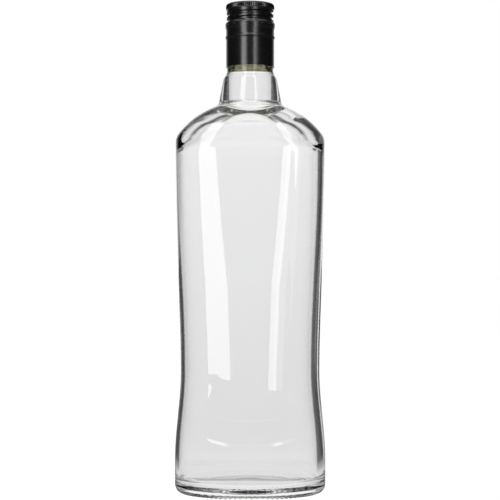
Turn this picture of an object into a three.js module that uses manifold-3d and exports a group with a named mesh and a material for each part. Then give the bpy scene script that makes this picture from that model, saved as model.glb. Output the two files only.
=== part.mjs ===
// A one-litre screw-top glass bottle with a rolled aluminium closure.
// Millimetres, +Z up. The origin is the centre of the ring that the bottle stands on, and the label panels face -Y and +Y.
import * as THREE from "three";
import { mergeVertices } from "three/addons/utils/BufferGeometryUtils.js";
import Module from "manifold-3d";

const wasm = await Module();
wasm.setup();

// Body of the bottle: its greatest half-width along X and half-depth along Y, and the stations of its oval. Each
// station says how far the sides and the faces draw in there, how square the oval is, and how fast it widens upwards.
const BODY_HALF_WIDTH = 49.35;
const BODY_HALF_DEPTH = 32.8;
const BASE = { z: 22, sideInset: 0, faceInset: 0, square: 2.1, slope: 0 };
const WAIST = { z: 80, sideInset: 3.85, faceInset: 0.6, square: 2.2, slope: 0 };
const CHEST = { z: 135, sideInset: 2.5, faceInset: 0.5, square: 2.3, slope: 0.03 };
const SHOULDER = { z: 232, sideInset: 0.6, faceInset: 0.3, square: 3.1, slope: 0.01 };

// Foot of the bottle.
const HEEL_RADIUS = 6;
const FOOT_RING_WIDTH = 4;
const PUNT_HEIGHT = 4.5;

// Shoulder dome and neck cone, as radii about the bottle's axis.
const DOME_RADIUS = 58;
const DOME_EDGE_TILT = THREE.MathUtils.degToRad(34.7);
const SHOULDER_ROUNDING = 3;
const NECK_BASE_RADIUS = 20.9;
const NECK_FILLET = 2.4;
const CONE_HEIGHT = 17.7;
const CONE_TOP_RADIUS = 17.5;
const CONE_TOP_ROUNDING = 1.6;
const FLARE_HEIGHT = 5.2;
const FLARE_START_RISE = 1.1;
const FLARE_START_INSET = 0.8;
const FLARE_BEND_OFFSET = 0.3;
const FLARE_BEND_SHARE = 0.55;

// How much sooner than it reaches full width the shoulder turns from round to oval.
const SHOULDER_SQUARING = 1.6;

// Glass walls.
const SIDE_WALL = 3.3;
const FACE_WALL = 2.8;
const FLOOR_THICKNESS = 6.5;
const INNER_HEEL_RADIUS = 7;
const SHOULDER_THICKNESS = 3.6;
const INNER_DOME_RADIUS = 58;
const INNER_SHOULDER_ROUNDING = 5;
const NECK_WALL = 4.1;
const THROAT_ROUNDING = 4.5;
const BORE_TAPER_HEIGHT = 15;
const BORE_RADIUS = 10.2;
const LIP_ROUNDING = 1.2;

// Label panels, one on each broad face.
const PANEL_DEPTH = 0.5;
const PANEL_TOP_HALF_WIDTH = 30.5;
const PANEL_WAIST_HALF_WIDTH = 26;
const PANEL_ARCH_RISE = 8.5;
const PANEL_CORNER = 6;
const PANEL_FOOT_SAG = 2.2;
const PANEL_TOP_DROP = 9.5;
const PANEL_BOTTOM_Z = 37;

// Closure: an aluminium cap over a tamper band, with a score line between them.
const CLOSURE_RADIUS = 15.75;
const CLOSURE_WALL = 0.25;
const CAP_HEIGHT = 13.8;
const BAND_HEIGHT = 27.3;
const SCORE_WIDTH = 0.4;
const BRIDGES = 8;
const BRIDGE_WIDTH = 0.9;
const BRIDGE_LENGTH = 0.2;
const BRIDGE_THICKNESS = 0.18;
const BRIDGE_PHASE = 0.875;
const TOP_CORNER_RADIUS = 2;
const KNURLS = 60;
const KNURL_DEPTH = 0.28;
const KNURL_HEIGHT = 3.3;
const KNURL_RUNOUT = 0.4;
const GRIP_TAPER_HEIGHT = 1.2;
const THREAD_ZONE_INSET = 0.3;
const BEAD_RISE = 0.45;
const CAP_BEAD_HEIGHT = 2.4;
const CAP_BEAD_FLAT = 1;
const BAND_BEAD_DROP = 7.8;
const BAND_BEAD_HALF_HEIGHT = 1.5;
const BAND_TOP_TAPER = 4.2;
const BAND_TOP_FLAT = 0.6;

// Thread, the same helix in the glass and in the cap.
const PITCH = 3.63;
const GROOVE_DEPTH = 1.1;
const GROOVE_HALF_WIDTH = 1.2;
const GROOVE_FLOOR_HALF_WIDTH = 0.45;
const GROOVE_TOP_DROP = 5.3;
const RIDGE_CREST_HALF_WIDTH = 0.35;
const RIDGE_ROOT_HALF_WIDTH = 0.9;
const THREAD_CLEARANCE = 0.3;
const THREAD_RUNOUT = 0.12;
const THREAD_END_DEPTH = 0.02;
const THREAD_ROOT_OVERLAP = 0.8;
const GLASS_THREAD_SHORTFALL = 0.25;

// Sealing liner and the clearances of the closure.
const LINER_THICKNESS = 2;
const LINER_RADIUS = 14;
const LINER_EDGE = 0.3;
const SEAT_CLEARANCE = 0.1;
const BAND_CLEARANCE = 0.4;
const RIM_CLEARANCE = 2.3;
const LOCK_RING_HEIGHT = 3.4;
const LOCK_RING_DROP = 0.5;
const NECK_RELIEF = 1.3;
const COLLAR_HEIGHT = 5;

// How far solids run into each other, and cutters past a face, so that each join is a true one.
const JOIN_OVERLAP = 0.3;
const CUT_OVERSHOOT = 1;

// Facets.
const GLASS_SEGMENTS = 44;
const METAL_SEGMENTS = 40;
const THREAD_STEPS_PER_TURN = 28;

// Heights that follow from the sizes above.
const shoulderHalfWidth = BODY_HALF_WIDTH - SHOULDER.sideInset;
const domeCentre = new THREE.Vector2(
  shoulderHalfWidth - DOME_RADIUS * Math.cos(DOME_EDGE_TILT),
  SHOULDER.z - DOME_RADIUS * Math.sin(DOME_EDGE_TILT),
);
const domeHeightAt = (radius) => domeCentre.y + Math.sqrt(DOME_RADIUS ** 2 - (radius - domeCentre.x) ** 2);
const NECK_BASE_Z = domeHeightAt(NECK_BASE_RADIUS);
const CONE_TOP_Z = NECK_BASE_Z + CONE_HEIGHT;
const FLARE_TOP_Z = CONE_TOP_Z + FLARE_HEIGHT;
const RIM_Z = FLARE_TOP_Z + RIM_CLEARANCE;
const BAND_TOP_Z = RIM_Z + BAND_HEIGHT;
const CAP_BOTTOM_Z = BAND_TOP_Z + SCORE_WIDTH;
const TOP_Z = CAP_BOTTOM_Z + CAP_HEIGHT;
const LINER_TOP_Z = TOP_Z - CLOSURE_WALL - SEAT_CLEARANCE;
const LINER_BOTTOM_Z = LINER_TOP_Z - LINER_THICKNESS;
const MOUTH_Z = LINER_BOTTOM_Z - SEAT_CLEARANCE;
const GRIP_BOTTOM_Z = TOP_Z - KNURL_HEIGHT - GRIP_TAPER_HEIGHT;

// Radii of the thread, worked inwards from the closure.
const threadZoneRadius = CLOSURE_RADIUS - THREAD_ZONE_INSET;
const grooveFloorRadius = threadZoneRadius - GROOVE_DEPTH;
const ridgeCrestRadius = threadZoneRadius - CLOSURE_WALL - THREAD_CLEARANCE;
const rootRadius = grooveFloorRadius - CLOSURE_WALL - THREAD_CLEARANCE;
const collarRadius = CLOSURE_RADIUS - CLOSURE_WALL - BAND_CLEARANCE;

// The groove's centre line: one height per turn angle, from its low end up to its high end.
const grooveTopZ = TOP_Z - GROOVE_TOP_DROP;
const grooveBottomZ = CAP_BOTTOM_Z + CAP_BEAD_HEIGHT;
const grooveTurns = (grooveTopZ - grooveBottomZ) / PITCH;
const GROOVE_TOP_ANGLE = THREE.MathUtils.degToRad(60);
const helixZ = (angle) => grooveTopZ + (PITCH * (angle - GROOVE_TOP_ANGLE)) / (2 * Math.PI);

// The neck's cone as a line in its profile.
const coneSlope = (NECK_BASE_RADIUS - CONE_TOP_RADIUS) / CONE_HEIGHT;
const onCone = (z) => new THREE.Vector2(NECK_BASE_RADIUS - coneSlope * (z - NECK_BASE_Z), z);

// Turns a closed geometry into a solid for boolean work.
function solidOf(geometry) {
  geometry.deleteAttribute("normal");
  geometry.deleteAttribute("uv");
  const merged = mergeVertices(geometry, 1e-4);
  const mesh = new wasm.Mesh({
    numProp: 3,
    vertProperties: new Float32Array(merged.attributes.position.array),
    triVerts: new Uint32Array(merged.index.array),
  });
  return new wasm.Manifold(mesh);
}

// Turns a solid back into a geometry with flat normals.
function geometryOf(solid) {
  const mesh = solid.getMesh();
  const positions = new Float32Array(mesh.numVert * 3);
  for (let i = 0; i < mesh.numVert; i++) {
    positions.set(mesh.vertProperties.subarray(i * mesh.numProp, i * mesh.numProp + 3), i * 3);
  }
  const geometry = new THREE.BufferGeometry();
  geometry.setAttribute("position", new THREE.BufferAttribute(positions, 3));
  geometry.setIndex(new THREE.BufferAttribute(new Uint32Array(mesh.triVerts), 1));
  const flat = geometry.toNonIndexed();
  flat.computeVertexNormals();
  return flat;
}

// Skins a list of rings, each with the same number of points, and closes both ends with a fan about the ring's middle.
function loft(rings) {
  const count = rings[0].length;
  const positions = rings.flat().flatMap((p) => [p.x, p.y, p.z]);
  const faces = [];
  for (let i = 0; i + 1 < rings.length; i++) {
    for (let j = 0; j < count; j++) {
      const k = (j + 1) % count;
      const low = i * count;
      const high = low + count;
      faces.push(low + j, low + k, high + k, low + j, high + k, high + j);
    }
  }
  for (const [ring, start, turn] of [
    [rings[0], 0, 1],
    [rings.at(-1), (rings.length - 1) * count, 0],
  ]) {
    const middle = ring.reduce((sum, p) => sum.add(p), new THREE.Vector3()).divideScalar(count);
    const centre = positions.length / 3;
    positions.push(middle.x, middle.y, middle.z);
    for (let j = 0; j < count; j++) {
      const k = (j + 1) % count;
      faces.push(centre, start + (turn ? k : j), start + (turn ? j : k));
    }
  }
  const geometry = new THREE.BufferGeometry();
  geometry.setAttribute("position", new THREE.Float32BufferAttribute(positions, 3));
  geometry.setIndex(faces);
  return geometry;
}

// One level ring of the glass: an oval whose corners grow square as the exponent passes 2.
function ovalRing({ halfWidth, halfDepth, square, z }) {
  const bulge = (value) => Math.sign(value) * Math.abs(value) ** (2 / square);
  return Array.from({ length: GLASS_SEGMENTS }, (_, i) => {
    const angle = (2 * Math.PI * (i + 0.5)) / GLASS_SEGMENTS;
    return new THREE.Vector3(halfWidth * bulge(Math.cos(angle)), halfDepth * bulge(Math.sin(angle)), z);
  });
}

const roundSection = (radius, z) => ({ halfWidth: radius, halfDepth: radius, square: 2, z });

const inset = (section, side, face, z) => ({
  halfWidth: section.halfWidth - side,
  halfDepth: section.halfDepth - face,
  square: section.square,
  z,
});

// The oval of the body at a height: a smooth curve through the stations, upright at and below the base.
function bodySection(z) {
  const stations = [{ ...BASE, z: 0 }, BASE, WAIST, CHEST, SHOULDER];
  const upper = Math.max(1, stations.findIndex((station) => station.z >= z));
  const low = stations[upper - 1];
  const high = stations[upper];
  const span = high.z - low.z;
  const t = (z - low.z) / span;
  const ease = 3 * t ** 2 - 2 * t ** 3;
  const lean = span * (low.slope * (t ** 3 - 2 * t ** 2 + t) + high.slope * (t ** 3 - t ** 2));
  const faceLean = (lean * BODY_HALF_DEPTH) / BODY_HALF_WIDTH;
  return {
    halfWidth: BODY_HALF_WIDTH - THREE.MathUtils.lerp(low.sideInset, high.sideInset, ease) + lean,
    halfDepth: BODY_HALF_DEPTH - THREE.MathUtils.lerp(low.faceInset, high.faceInset, ease) + faceLean,
    square: THREE.MathUtils.lerp(low.square, high.square, t),
    z,
  };
}

// A section between a round neck and the oval below it, by how far the half-width has grown.
function shoulderSection(point, neckRadius, edge) {
  const share = (point.x - neckRadius) / (edge.halfWidth - neckRadius);
  return {
    halfWidth: point.x,
    halfDepth: THREE.MathUtils.lerp(neckRadius, edge.halfDepth, share),
    square: THREE.MathUtils.lerp(2, edge.square, Math.min(1, SHOULDER_SQUARING * share)),
    z: point.y,
  };
}

const curvePoints = (from, corner, to, steps) => new THREE.QuadraticBezierCurve(from, corner, to).getPoints(steps);

const heightsBetween = (from, to, steps) =>
  Array.from({ length: steps + 1 }, (_, i) => THREE.MathUtils.lerp(from, to, i / steps));

// Underside, heel and walls of the outside, up to the shoulder's edge.
function outerBodySections(drop) {
  const foot = bodySection(HEEL_RADIUS);
  const ringInset = HEEL_RADIUS + FOOT_RING_WIDTH;
  const sections = [];
  for (const share of [0.45, 0.8, 1]) {
    const reach = inset(foot, ringInset, ringInset, PUNT_HEIGHT * (1 - share ** 2));
    sections.push({ ...reach, halfWidth: reach.halfWidth * share, halfDepth: reach.halfDepth * share });
  }
  for (const degrees of [0, 22, 45, 68]) {
    const angle = THREE.MathUtils.degToRad(degrees);
    const side = HEEL_RADIUS * (1 - Math.sin(angle));
    sections.push(inset(foot, side, side, HEEL_RADIUS * (1 - Math.cos(angle))));
  }
  for (const z of heightsBetween(HEEL_RADIUS, CHEST.z, 10)) sections.push(bodySection(z));
  for (const z of heightsBetween(CHEST.z, SHOULDER.z - SHOULDER_ROUNDING, 3).slice(1)) sections.push(bodySection(z));
  return drop ? sections.map((s) => inset(s, drop, drop, s.z)) : sections;
}

// The dome of the shoulder, from the rounded edge to the foot of the neck.
function outerShoulderSections() {
  const edge = bodySection(SHOULDER.z);
  const onDome = (angle) =>
    new THREE.Vector2(domeCentre.x + DOME_RADIUS * Math.cos(angle), domeCentre.y + DOME_RADIUS * Math.sin(angle));
  const roundingAngle = SHOULDER_ROUNDING / DOME_RADIUS;
  const belowZ = SHOULDER.z - SHOULDER_ROUNDING;
  const below = new THREE.Vector2(bodySection(belowZ).halfWidth, belowZ);
  const corner = new THREE.Vector2(edge.halfWidth, SHOULDER.z);
  const start = onDome(DOME_EDGE_TILT + roundingAngle);
  const endAngle = Math.acos((NECK_BASE_RADIUS + NECK_FILLET - domeCentre.x) / DOME_RADIUS);
  const points = curvePoints(below, corner, start, 3).slice(1);
  for (const angle of heightsBetween(DOME_EDGE_TILT + roundingAngle, endAngle, 5).slice(1)) points.push(onDome(angle));
  return points.map((point) => shoulderSection(point, NECK_BASE_RADIUS, edge));
}

// The neck's cone, its flare under the closure, and the finish that the closure holds.
function neckSections() {
  const domeEnd = new THREE.Vector2(NECK_BASE_RADIUS + NECK_FILLET, domeHeightAt(NECK_BASE_RADIUS + NECK_FILLET));
  const flareStart = new THREE.Vector2(CONE_TOP_RADIUS - FLARE_START_INSET, CONE_TOP_Z + FLARE_START_RISE);
  const flareBendZ = CONE_TOP_Z + FLARE_HEIGHT * FLARE_BEND_SHARE;
  const flareBend = new THREE.Vector2(collarRadius + FLARE_BEND_OFFSET, flareBendZ);
  const lipCut = LIP_ROUNDING * (1 - Math.SQRT1_2);
  const collarTopZ = RIM_Z + COLLAR_HEIGHT;
  const lockTopZ = CAP_BOTTOM_Z - LOCK_RING_DROP;
  const lockBottomZ = lockTopZ - LOCK_RING_HEIGHT;
  const reliefRadius = collarRadius - NECK_RELIEF;
  const points = [
    ...curvePoints(domeEnd, onCone(NECK_BASE_Z), onCone(NECK_BASE_Z + NECK_FILLET), 3).slice(1),
    onCone((NECK_BASE_Z + CONE_TOP_Z) / 2),
    ...curvePoints(onCone(CONE_TOP_Z - CONE_TOP_ROUNDING), onCone(CONE_TOP_Z), flareStart, 2),
    ...curvePoints(flareStart, flareBend, new THREE.Vector2(collarRadius, FLARE_TOP_Z), 3).slice(1),
    new THREE.Vector2(collarRadius, collarTopZ),
    new THREE.Vector2(reliefRadius, collarTopZ + NECK_RELIEF),
    new THREE.Vector2(reliefRadius, lockBottomZ - NECK_RELIEF),
    new THREE.Vector2(collarRadius, lockBottomZ),
    new THREE.Vector2(collarRadius, lockTopZ - NECK_RELIEF),
    new THREE.Vector2(rootRadius, lockTopZ),
    new THREE.Vector2(rootRadius, MOUTH_Z - LIP_ROUNDING),
    new THREE.Vector2(rootRadius - lipCut, MOUTH_Z - lipCut),
    new THREE.Vector2(rootRadius - LIP_ROUNDING, MOUTH_Z),
    new THREE.Vector2(BORE_RADIUS + LIP_ROUNDING / 2, MOUTH_Z),
    new THREE.Vector2(BORE_RADIUS, MOUTH_Z - LIP_ROUNDING / 2),
  ];
  return points.map((point) => roundSection(point.x, point.y));
}

// The cavity: the bore, the wider throat inside the cone, the dome under the shoulder, the walls and the floor.
function innerSections() {
  const domeTopZ = NECK_BASE_Z - SHOULDER_THICKNESS;
  const domeZ = (radius) => domeTopZ - INNER_DOME_RADIUS + Math.sqrt(INNER_DOME_RADIUS ** 2 - radius ** 2);
  const wallAt = (z) => inset(bodySection(z), SIDE_WALL, FACE_WALL, z);
  const cornerRadius = shoulderHalfWidth - SIDE_WALL;
  const cornerZ = domeZ(cornerRadius);
  const edge = wallAt(cornerZ);
  const inThroat = (z) => new THREE.Vector2(onCone(z).x - NECK_WALL, z);
  const throatRadius = inThroat(domeTopZ).x;
  const mouthOfDome = throatRadius + THROAT_ROUNDING;
  const points = [
    new THREE.Vector2(BORE_RADIUS, CONE_TOP_Z + BORE_TAPER_HEIGHT),
    inThroat(CONE_TOP_Z),
    ...curvePoints(
      inThroat(domeTopZ + THROAT_ROUNDING),
      new THREE.Vector2(throatRadius, domeTopZ),
      new THREE.Vector2(mouthOfDome, domeZ(mouthOfDome)),
      3,
    ),
    ...heightsBetween(mouthOfDome, cornerRadius - INNER_SHOULDER_ROUNDING, 3)
      .slice(1)
      .map((radius) => new THREE.Vector2(radius, domeZ(radius))),
  ];
  const lastOnDome = points.at(-1);
  const firstOnWall = wallAt(cornerZ - INNER_SHOULDER_ROUNDING);
  points.push(
    ...curvePoints(
      lastOnDome,
      new THREE.Vector2(edge.halfWidth, cornerZ),
      new THREE.Vector2(firstOnWall.halfWidth, firstOnWall.z),
      3,
    ).slice(1, -1),
  );
  const sections = points.map((point) =>
    point.x > throatRadius ? shoulderSection(point, throatRadius, edge) : roundSection(point.x, point.y),
  );
  const heelTopZ = FLOOR_THICKNESS + INNER_HEEL_RADIUS;
  for (const z of heightsBetween(firstOnWall.z, CHEST.z, 2)) sections.push(wallAt(z));
  for (const z of heightsBetween(CHEST.z, heelTopZ, 7).slice(1)) sections.push(wallAt(z));
  const foot = wallAt(heelTopZ);
  for (const degrees of [30, 60, 90]) {
    const angle = THREE.MathUtils.degToRad(degrees);
    const side = INNER_HEEL_RADIUS * (1 - Math.cos(angle));
    sections.push(inset(foot, side, side, heelTopZ - INNER_HEEL_RADIUS * Math.sin(angle)));
  }
  const floorRim = sections.at(-1);
  for (const share of [0.75, 0.4]) {
    sections.push({
      halfWidth: floorRim.halfWidth * share,
      halfDepth: floorRim.halfDepth * share,
      square: floorRim.square,
      z: FLOOR_THICKNESS + PUNT_HEIGHT * (1 - share ** 2),
    });
  }
  return sections;
}

// The outline of a label panel in the XZ plane: an arched head, sides that follow the waist, and a sagging foot.
function panelOutline() {
  const shoulderZ = SHOULDER.z - PANEL_TOP_DROP;
  const outline = new THREE.Shape();
  const side = (sign) => [
    new THREE.Vector2(sign * PANEL_WAIST_HALF_WIDTH, PANEL_BOTTOM_Z + PANEL_CORNER),
    new THREE.Vector2(sign * PANEL_WAIST_HALF_WIDTH, WAIST.z),
    new THREE.Vector2(sign * PANEL_TOP_HALF_WIDTH, shoulderZ - PANEL_CORNER),
  ];
  const [rightFoot, rightWaist, rightHead] = side(1);
  const [leftFoot, leftWaist, leftHead] = side(-1);
  const footReach = PANEL_WAIST_HALF_WIDTH - PANEL_CORNER;
  const headReach = PANEL_TOP_HALF_WIDTH - PANEL_CORNER;
  const headRise = PANEL_ARCH_RISE * (1 - (headReach / PANEL_TOP_HALF_WIDTH) ** 2);
  outline.moveTo(rightFoot.x, rightFoot.y);
  outline.lineTo(rightWaist.x, rightWaist.y);
  outline.lineTo(rightHead.x, rightHead.y);
  outline.quadraticCurveTo(PANEL_TOP_HALF_WIDTH, shoulderZ + headRise / 2, headReach, shoulderZ + headRise);
  outline.quadraticCurveTo(0, shoulderZ + 2 * PANEL_ARCH_RISE - headRise, -headReach, shoulderZ + headRise);
  outline.quadraticCurveTo(-PANEL_TOP_HALF_WIDTH, shoulderZ + headRise / 2, leftHead.x, leftHead.y);
  outline.lineTo(leftWaist.x, leftWaist.y);
  outline.lineTo(leftFoot.x, leftFoot.y);
  outline.quadraticCurveTo(-PANEL_WAIST_HALF_WIDTH, PANEL_BOTTOM_Z, -footReach, PANEL_BOTTOM_Z);
  outline.quadraticCurveTo(0, PANEL_BOTTOM_Z - 2 * PANEL_FOOT_SAG, footReach, PANEL_BOTTOM_Z);
  outline.quadraticCurveTo(PANEL_WAIST_HALF_WIDTH, PANEL_BOTTOM_Z, rightFoot.x, rightFoot.y);
  return outline;
}

// Both label panels as one cutter: the outline pushed through the body, less the body drawn in by the panel's depth.
function panelCutter() {
  const depth = 4 * BODY_HALF_DEPTH;
  const prism = new THREE.ExtrudeGeometry(panelOutline(), { depth, bevelEnabled: false, curveSegments: 5 });
  prism.translate(0, 0, -depth / 2);
  prism.rotateX(Math.PI / 2);
  const edge = bodySection(SHOULDER.z);
  const coreTop = outerShoulderSections().filter((s) => s.halfWidth > PANEL_TOP_HALF_WIDTH);
  const core = [...outerBodySections(PANEL_DEPTH), ...coreTop.map((s) => inset(s, PANEL_DEPTH, PANEL_DEPTH, s.z))];
  core.push(inset(edge, edge.halfWidth / 2, edge.halfDepth / 2, core.at(-1).z + 1));
  return solidOf(prism).subtract(solidOf(loft(core.map(ovalRing))));
}

// A bar that winds along the thread's helix. The section gives its corners for a share of full depth.
function helixBar(fromAngle, turns, lift, section) {
  const steps = Math.ceil(turns * THREAD_STEPS_PER_TURN);
  const rings = [];
  for (let i = 0; i <= steps; i++) {
    const share = i / steps;
    const angle = fromAngle + 2 * Math.PI * turns * share;
    const runout = THREAD_RUNOUT / turns;
    const depth = THREE.MathUtils.clamp(Math.min(share, 1 - share) / runout, THREAD_END_DEPTH, 1);
    const ring = section(depth).map(
      ([radius, rise]) =>
        new THREE.Vector3(radius * Math.cos(angle), radius * Math.sin(angle), helixZ(angle) + lift + rise),
    );
    rings.push(ring);
  }
  return solidOf(loft(rings));
}

// The raised thread on the glass, half a pitch above the groove in the cap.
function glassThread() {
  const buried = rootRadius - THREAD_ROOT_OVERLAP;
  const section = (depth) => {
    const crest = THREE.MathUtils.lerp(rootRadius, ridgeCrestRadius, depth);
    return [
      [buried, RIDGE_ROOT_HALF_WIDTH],
      [rootRadius, RIDGE_ROOT_HALF_WIDTH],
      [crest, RIDGE_CREST_HALF_WIDTH],
      [crest, -RIDGE_CREST_HALF_WIDTH],
      [rootRadius, -RIDGE_ROOT_HALF_WIDTH],
      [buried, -RIDGE_ROOT_HALF_WIDTH],
    ];
  };
  const turns = grooveTurns - GLASS_THREAD_SHORTFALL;
  return helixBar(GROOVE_TOP_ANGLE - 2 * Math.PI * grooveTurns, turns, PITCH / 2, section);
}

function bottleSolid() {
  const sections = [...outerBodySections(0), ...outerShoulderSections(), ...neckSections(), ...innerSections()];
  return solidOf(loft(sections.map(ovalRing)))
    .subtract(panelCutter())
    .add(glassThread());
}

// Revolves a profile of [radius, height] points about the bottle's axis.
function revolve(profile) {
  const points = profile.map(([radius, height]) => new THREE.Vector2(radius, height));
  return solidOf(new THREE.LatheGeometry(points, METAL_SEGMENTS).rotateX(Math.PI / 2));
}

// Rounds a bead over a cylinder, as profile points from its low side to its high side.
function beadPoints(radius, rise, lowZ, highZ, steps) {
  return heightsBetween(lowZ, highZ, steps).map((z, i) => [
    radius + (rise * (1 - Math.cos((2 * Math.PI * i) / steps))) / 2,
    z,
  ]);
}

// The knurled corner of the cap: rings of teeth that fade out on the flat top.
function knurledTop() {
  const corner = CLOSURE_RADIUS - TOP_CORNER_RADIUS;
  const levels = [
    [CLOSURE_RADIUS, TOP_Z - KNURL_HEIGHT, 0],
    [CLOSURE_RADIUS, TOP_Z - KNURL_HEIGHT + KNURL_RUNOUT, 1],
  ];
  for (const degrees of [0, 45, 75, 90]) {
    const angle = THREE.MathUtils.degToRad(degrees);
    const teeth = degrees < 90 ? 1 : 0;
    const height = TOP_Z - TOP_CORNER_RADIUS * (1 - Math.sin(angle));
    levels.push([corner + TOP_CORNER_RADIUS * Math.cos(angle), height, teeth]);
  }
  const rings = levels.map(([radius, z, teeth]) =>
    Array.from({ length: 2 * KNURLS }, (_, i) => {
      const angle = (Math.PI * i) / KNURLS;
      const reach = radius - (i % 2) * teeth * KNURL_DEPTH;
      return new THREE.Vector3(reach * Math.cos(angle), reach * Math.sin(angle), z);
    }),
  );
  return solidOf(loft(rings));
}

// The rolled thread, cut from the outside and left proud on the inside.
function rolledThread(offset) {
  const floor = grooveFloorRadius - offset;
  const outer = CLOSURE_RADIUS + 2 * BEAD_RISE;
  const slope = (GROOVE_HALF_WIDTH - GROOVE_FLOOR_HALF_WIDTH) / GROOVE_DEPTH;
  const section = (depth) => {
    const bottom = THREE.MathUtils.lerp(threadZoneRadius - offset, floor, depth);
    const floorHalf = GROOVE_FLOOR_HALF_WIDTH + offset / 2;
    const outerHalf = floorHalf + slope * (outer - bottom);
    return [
      [bottom, floorHalf],
      [outer, outerHalf],
      [outer, -outerHalf],
      [bottom, -floorHalf],
    ];
  };
  return helixBar(GROOVE_TOP_ANGLE - 2 * Math.PI * grooveTurns, grooveTurns, 0, section);
}

function capSolid() {
  const beadRadius = CLOSURE_RADIUS + BEAD_RISE;
  const side = [
    [beadRadius, CAP_BOTTOM_Z],
    [beadRadius, CAP_BOTTOM_Z + CAP_BEAD_FLAT],
    [threadZoneRadius, CAP_BOTTOM_Z + CAP_BEAD_HEIGHT],
    [threadZoneRadius, GRIP_BOTTOM_Z],
    [CLOSURE_RADIUS, GRIP_BOTTOM_Z + GRIP_TAPER_HEIGHT],
  ];
  const kneeZ = TOP_Z - TOP_CORNER_RADIUS;
  const innerCorner = CLOSURE_RADIUS - TOP_CORNER_RADIUS;
  const innerKnee = TOP_CORNER_RADIUS - CLOSURE_WALL - KNURL_DEPTH;
  const innerWall = innerCorner + innerKnee;
  const gripTopZ = GRIP_BOTTOM_Z + GRIP_TAPER_HEIGHT;
  const outside = revolve([
    [0, CAP_BOTTOM_Z],
    ...side,
    [CLOSURE_RADIUS - KNURL_DEPTH, gripTopZ + JOIN_OVERLAP],
    [0, gripTopZ + JOIN_OVERLAP],
  ]).subtract(rolledThread(0));
  const insideSide = side.slice(0, -1).map(([radius, z]) => [radius - CLOSURE_WALL, z]);
  const inside = revolve([
    [0, CAP_BOTTOM_Z - CUT_OVERSHOOT],
    [beadRadius - CLOSURE_WALL, CAP_BOTTOM_Z - CUT_OVERSHOOT],
    ...insideSide,
    [innerWall, gripTopZ],
    [innerWall, kneeZ],
    [innerCorner + innerKnee * Math.SQRT1_2, kneeZ + (TOP_CORNER_RADIUS - CLOSURE_WALL) * Math.SQRT1_2],
    [innerCorner, TOP_Z - CLOSURE_WALL],
    [0, TOP_Z - CLOSURE_WALL],
  ]).subtract(rolledThread(CLOSURE_WALL));
  let cap = outside.add(knurledTop()).subtract(inside);
  for (let i = 0; i < BRIDGES; i++) cap = cap.add(bridge((2 * Math.PI * (i + BRIDGE_PHASE)) / BRIDGES));
  return cap;
}

// One stub of the score line: a tab that hangs from the cap's edge towards the band.
function bridge(angle) {
  const height = BRIDGE_LENGTH + JOIN_OVERLAP;
  const tab = new THREE.BoxGeometry(BRIDGE_THICKNESS, BRIDGE_WIDTH, height);
  tab.translate(CLOSURE_RADIUS + BEAD_RISE - CLOSURE_WALL / 2, 0, CAP_BOTTOM_Z - BRIDGE_LENGTH + height / 2);
  tab.rotateZ(angle);
  return solidOf(tab);
}

function bandSolid() {
  const beadZ = BAND_TOP_Z - BAND_BEAD_DROP;
  const beadRadius = CLOSURE_RADIUS + BEAD_RISE;
  const taper = curvePoints(
    new THREE.Vector2(CLOSURE_RADIUS, BAND_TOP_Z - BAND_TOP_TAPER),
    new THREE.Vector2(CLOSURE_RADIUS, BAND_TOP_Z - BAND_TOP_TAPER / 2),
    new THREE.Vector2(beadRadius, BAND_TOP_Z - BAND_TOP_FLAT),
    2,
  );
  const outside = [
    [CLOSURE_RADIUS, RIM_Z],
    ...beadPoints(CLOSURE_RADIUS, BEAD_RISE, beadZ - BAND_BEAD_HALF_HEIGHT, beadZ + BAND_BEAD_HALF_HEIGHT, 4),
    ...taper.map((point) => [point.x, point.y]),
    [beadRadius, BAND_TOP_Z],
  ];
  const inside = outside.map(([radius, z]) => [radius - CLOSURE_WALL, z]).reverse();
  return revolve([...outside, ...inside, outside[0]]);
}

function linerSolid() {
  return revolve([
    [0, LINER_BOTTOM_Z],
    [LINER_RADIUS, LINER_BOTTOM_Z],
    [LINER_RADIUS, LINER_TOP_Z - LINER_EDGE],
    [LINER_RADIUS - LINER_EDGE, LINER_TOP_Z],
    [0, LINER_TOP_Z],
  ]);
}

const glass = new THREE.MeshStandardMaterial({
  color: 0xe9eeee,
  roughness: 0.03,
  metalness: 0,
  transparent: true,
  opacity: 0.35,
});
const blackLacquer = new THREE.MeshStandardMaterial({ color: 0x121212, roughness: 0.28, metalness: 0.3 });
const linerFoam = new THREE.MeshStandardMaterial({ color: 0xf1f0ea, roughness: 0.8, metalness: 0 });

const bottleWithClosure = new THREE.Group();
for (const [name, solid, material] of [
  ["bottle", bottleSolid(), glass],
  ["cap_shell", capSolid(), blackLacquer],
  ["tamper_band", bandSolid(), blackLacquer],
  ["liner", linerSolid(), linerFoam],
]) {
  const mesh = new THREE.Mesh(geometryOf(solid), material);
  mesh.name = name;
  bottleWithClosure.add(mesh);
}

export default bottleWithClosure;
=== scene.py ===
"""A clear glass bottle with a black roll-on screw closure, standing in a white studio."""

import math

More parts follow.
